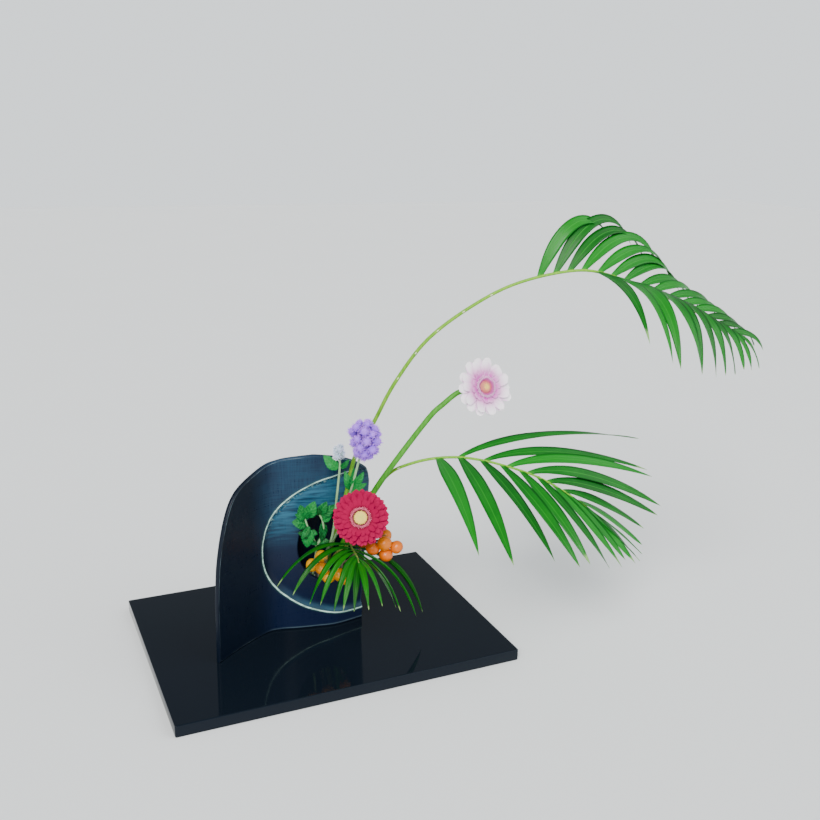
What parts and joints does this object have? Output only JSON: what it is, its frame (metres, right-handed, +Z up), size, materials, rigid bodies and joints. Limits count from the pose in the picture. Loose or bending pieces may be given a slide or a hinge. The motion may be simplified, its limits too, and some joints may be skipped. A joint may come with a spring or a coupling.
{
  "type": "ikebana arrangement",
  "caption": "Ikebana arrangement: a curved black glazed vase with a round mouth on a lacquered board, holding palm fronds, gerberas, floss flowers and twigs of orange fruit.",
  "frame": {"origin": "the middle of the board's flat underside", "axes": "+X along the board to the right, +Y away from the side the arrangement is looked at, +Z up"},
  "size_m": [0.7272, 0.4906, 0.5504],
  "materials": {
    "lacquer": "black lacquer, mirror gloss",
    "glaze": "dark blue-black glaze with brush strokes",
    "brass": "dull, worn",
    "water": "clear",
    "palm_leaf": "satin leaf",
    "red_petal": "velvety petal",
    "pink_petal": "velvety petal",
    "pale_floret": "matt",
    "green_stem": "satin stem",
    "purple_floret": "fluffy",
    "white_bud": "fluffy",
    "hairy_leaf": "matt, finely hairy",
    "fruit_skin": "smooth satin skin",
    "bark": "thin rough bark"
  },
  "bodies": {
    "root": {"board": "lacquer", "vase": "glaze", "needle_holder": "brass", "water": "water", "palm_arch": "palm_leaf", "palm_right": "palm_leaf", "palm_front": "palm_leaf", "gerbera_red_petals": "red_petal", "gerbera_red_disc": "pale_floret", "gerbera_red_stem": "green_stem", "gerbera_pink_petals": "pink_petal", "gerbera_pink_disc": "pale_floret", "gerbera_pink_stem": "green_stem", "floss_head": "purple_floret", "floss_stem": "hairy_leaf", "bud_head": "white_bud", "bud_stem": "hairy_leaf", "leafy_sprig": "hairy_leaf", "fruit_left": "fruit_skin", "fruit_right": "fruit_skin", "twig_left": "bark", "twig_right": "bark"}
  },
  "joints": []
}
